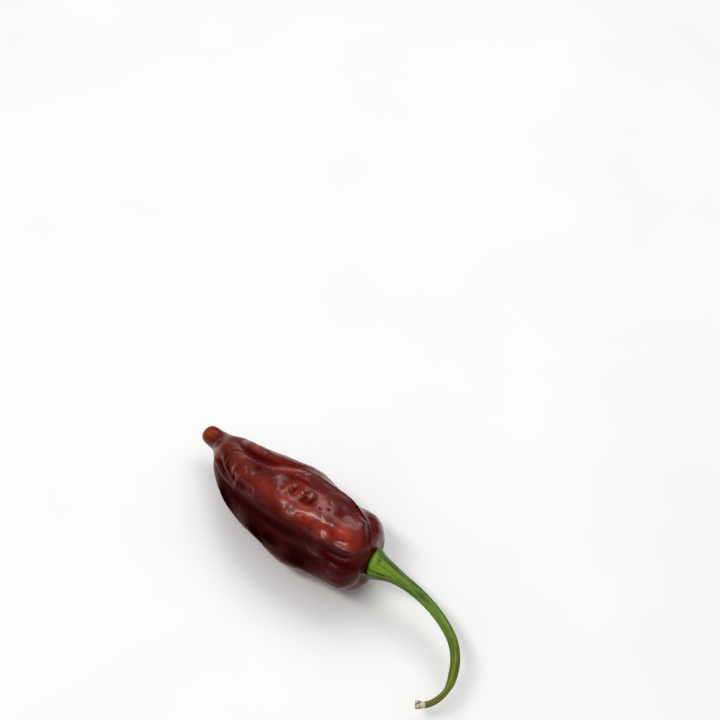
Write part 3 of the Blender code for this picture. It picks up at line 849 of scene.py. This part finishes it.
# The places along the stem, from 0 at the calyx to 1 at the cut, between which it changes.
TURNS_STALK_GREEN, TURNS_OLIVE, TURNS_BROWN, DRIES = (0.14, 0.30), (0.52, 0.68), (0.80, 0.95), (0.7, 0.98)
# The parts of their noise in which the marks begin and end, and how strongly the marks colour the stem.
LIGHT_FIBRES, DARK_FIBRES, DARK_BLOTCHES = (0.52, 0.72), (0.48, 0.30), (0.5, 0.8)
TORN, SPLINTERS = (0.85, 1.05), (0.50, 0.56)
RIB_SHARE, LOWER_SHADE_SHARE, FAR_SHADE_SHARE, RIM_SHARE = 0.35, 0.9, 0.8, 0.6
LIGHT_FIBRE_SHARE, DARK_FIBRE_SHARE, BLOTCH_SHARE = 0.6, 0.7, 0.4
satin = bpy.data.materials.new("satin_plant_stem")
satin.use_nodes = True
tree = satin.node_tree
tree.nodes.clear()
where = node(tree, "ShaderNodeTexCoord").outputs["Object"]
blotches = node(tree, "ShaderNodeTexNoise", {"Vector": where, "Scale": 1 / (STEM_BLOTCH * MM), "Detail": 3.0})
place = stored(tree, "along")
fibre_place = node(
    tree, "ShaderNodeCombineXYZ",
    {
        0: product(tree, place, FIBRES_ALONG),
        1: product(tree, stored(tree, "round_cos"), FIBRES_ACROSS),
        2: product(tree, stored(tree, "round_sin"), FIBRES_ACROSS),
    },
)
fibres = node(tree, "ShaderNodeTexNoise", {"Vector": fibre_place.outputs[0], "Scale": 1.0, "Detail": 3.0})
green = colour_mix(tree, spread(tree, place, *TURNS_STALK_GREEN), linear(CALYX_GREEN), linear(STALK_GREEN))
green = colour_mix(tree, spread(tree, place, *TURNS_OLIVE), green, linear(OLIVE))
green = colour_mix(tree, spread(tree, place, *TURNS_BROWN), green, linear(DRY_BROWN))
green = colour_mix(tree, product(tree, stored(tree, "rib"), RIB_SHARE), green, linear(RIB_LIGHT))
# Painted shade on the calyx's lower face and the stem's far face.
shaded_lower_side = product(tree, stored(tree, "shaded_lower_side"), LOWER_SHADE_SHARE)
green = colour_mix(tree, shaded_lower_side, green, linear(SHADE_AND_DARK_FIBRE_GREEN))
shaded_far_side = product(tree, stored(tree, "shaded_far_side"), FAR_SHADE_SHARE)
green = colour_mix(tree, shaded_far_side, green, linear(SHADE_AND_DARK_FIBRE_GREEN))
# Painted shade in the dents.
green = colour_mix(tree, stored(tree, "shaded_dent"), green, linear(DENT_SHADE_GREEN))
light_fibres = spread(tree, fibres.outputs[0], *LIGHT_FIBRES, 0.0, LIGHT_FIBRE_SHARE)
green = colour_mix(tree, light_fibres, green, linear(RIB_LIGHT))
dark_fibres = spread(tree, fibres.outputs[0], *DARK_FIBRES, 0.0, DARK_FIBRE_SHARE)
green = colour_mix(tree, dark_fibres, green, linear(SHADE_AND_DARK_FIBRE_GREEN))
dark_blotches = spread(tree, blotches.outputs[0], *DARK_BLOTCHES, 0.0, BLOTCH_SHARE)
green = colour_mix(tree, dark_blotches, green, linear(SHADE_AND_DARK_FIBRE_GREEN))
# Painted shade under the rim.
green = colour_mix(tree, stored(tree, "shade_under_rim"), green, linear(SHADE_AND_DARK_FIBRE_GREEN))
green = colour_mix(tree, product(tree, stored(tree, "rim"), RIM_SHARE), green, linear(RIM_GREEN))
green = colour_mix(tree, stored(tree, "scar"), green, linear(PIT_BROWN))
torn = node(tree, "ShaderNodeTexNoise", {"Vector": where, "Scale": 1 / (TORN_EDGE * MM), "Detail": 2.0})
torn_edge = node(tree, "ShaderNodeMath", {0: stored(tree, "cut_band"), 1: torn.outputs[0]}, operation="ADD")
green = colour_mix(tree, spread(tree, torn_edge.outputs[0], *TORN), green, linear(PALE_WOOD))
pitted = product(tree, stored(tree, "cut"), spread(tree, torn.outputs[0], *SPLINTERS))
green = colour_mix(tree, pitted, green, linear(PIT_BROWN))
green = colour_mix(tree, stored(tree, "pit"), green, linear(PIT_BROWN))
fibre_bump = node(
    tree, "ShaderNodeBump",
    {"Height": fibres.outputs[0], "Strength": FIBRE_STRENGTH, "Distance": FIBRE_DEPTH * MM},
)
dryness = spread(tree, place, *DRIES, *STEM_ROUGHNESS)
shader = node(
    tree, "ShaderNodeBsdfPrincipled",
    {"Base Color": green, "Roughness": dryness, "IOR": STEM_SKIN_IOR, "Normal": fibre_bump.outputs[0]},
)
node(tree, "ShaderNodeOutputMaterial", {"Surface": shader.outputs[0]})
stem.data.materials.clear()
stem.data.materials.append(satin)
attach(stem, "root")
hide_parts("stem")


# The floor: a plain sheet of matt white board, which the pepper lies on. Its coating is even, with faint
# clouds and almost no shine.
FLOOR_SIZE = 4.0
FLOOR_CLOUD = 60.0
FLOOR_CLOUDS = (0.3, 0.7)
FLOOR_WHITE, FLOOR_CLOUD_WHITE = "#F6F6F6", "#F2F2F2"
BOARD_ROUGHNESS = 0.85
BOARD_SPECULAR = 0.2
bpy.ops.object.select_all(action="DESELECT")
bpy.ops.mesh.primitive_plane_add(size=FLOOR_SIZE, location=(0.0, 0.0, 0.0))
floor = bpy.context.object
floor.name = floor.data.name = "floor"
board = bpy.data.materials.new("matt_white_board")
board.use_nodes = True
tree = board.node_tree
tree.nodes.clear()
where = node(tree, "ShaderNodeTexCoord").outputs["Object"]
cloudy = node(tree, "ShaderNodeTexNoise", {"Vector": where, "Scale": 1 / (FLOOR_CLOUD * MM), "Detail": 2.0})
cloud = spread(tree, cloudy.outputs[0], *FLOOR_CLOUDS)
shade = colour_mix(tree, cloud, linear(FLOOR_CLOUD_WHITE), linear(FLOOR_WHITE))
shader = node(
    tree, "ShaderNodeBsdfPrincipled",
    {"Base Color": shade, "Roughness": BOARD_ROUGHNESS, "Specular IOR Level": BOARD_SPECULAR},
)
node(tree, "ShaderNodeOutputMaterial", {"Surface": shader.outputs[0]})
floor.data.materials.append(board)


# The light: two softboxes overhead, a broad one beyond the pod and a narrow, brighter one before it, and a
# room that is dim at its walls and brighter at its ceiling. Each softbox is (name, place, size, radiance).
SOFTBOXES = (
    ("far_softbox", (-0.16, 0.38, 0.69), (0.75, 0.44), 2.4),
    ("near_softbox", (-0.10, -0.34, 0.72), (0.46, 0.12), 13.2),
)
SOFTBOX_COLOUR = (1.0, 0.985, 0.96)
ROOM_COLOUR = (0.97, 0.98, 1.0, 1.0)
CEILING, WALLS = 0.66, 0.20
WALLS_TO_CEILING = (0.2, 0.9)
for name, place, size, radiance in SOFTBOXES:
    lamp = bpy.data.lights.new(name, "AREA")
    lamp.shape = "RECTANGLE"
    lamp.size, lamp.size_y = size
    lamp.energy = radiance * size[0] * size[1] * math.pi
    lamp.color = SOFTBOX_COLOUR
    softbox = bpy.data.objects.new(name, lamp)
    softbox.location = place
    away = Vector(place).normalized()
    across = Vector((1.0, 0.0, 0.0)) - away * away.x
    across.normalize()
    softbox.rotation_euler = Matrix((across, away.cross(across), away)).transposed().to_euler()
    bpy.context.scene.collection.objects.link(softbox)

world = bpy.data.worlds.new("room")
bpy.context.scene.world = world
world.use_nodes = True
tree = world.node_tree
tree.nodes.clear()
towards = node(tree, "ShaderNodeTexCoord").outputs["Generated"]
split = node(tree, "ShaderNodeSeparateXYZ", {0: towards})
strength = spread(tree, split.outputs[2], *WALLS_TO_CEILING, WALLS, CEILING)
sky = node(tree, "ShaderNodeBackground", {"Color": ROOM_COLOUR, "Strength": strength})
node(tree, "ShaderNodeOutputWorld", {"Surface": sky.outputs[0]})


# The camera looks down on the pepper from in front and to its right, as the photograph does. The picture is
# printed with deep darks: the tone curve takes the lowest tones down a little, as (tone in, tone out).
CAMERA_AT = (0.17766, -0.18022, 0.39727)
CAMERA_DOWN_FROM_LEVEL = 50.0
CAMERA_TURN = 42.0
CAMERA_LENS = 80.0
CAMERA_SENSOR = 36.0
DARKS = ((0.02, 0.010), (0.06, 0.045), (0.20, 0.19))
camera_data = bpy.data.cameras.new("camera")
camera_data.lens = CAMERA_LENS
camera_data.sensor_width = CAMERA_SENSOR
camera = bpy.data.objects.new("camera", camera_data)
camera.location = CAMERA_AT
camera.rotation_euler = (math.radians(90 - CAMERA_DOWN_FROM_LEVEL), 0.0, math.radians(CAMERA_TURN))
bpy.context.scene.collection.objects.link(camera)
bpy.context.scene.camera = camera
print_tones = bpy.context.scene.view_settings
print_tones.view_transform = "Standard"
print_tones.use_curve_mapping = True
for tone, printed in DARKS:
    print_tones.curve_mapping.curves[3].points.new(tone, printed)
print_tones.curve_mapping.update()
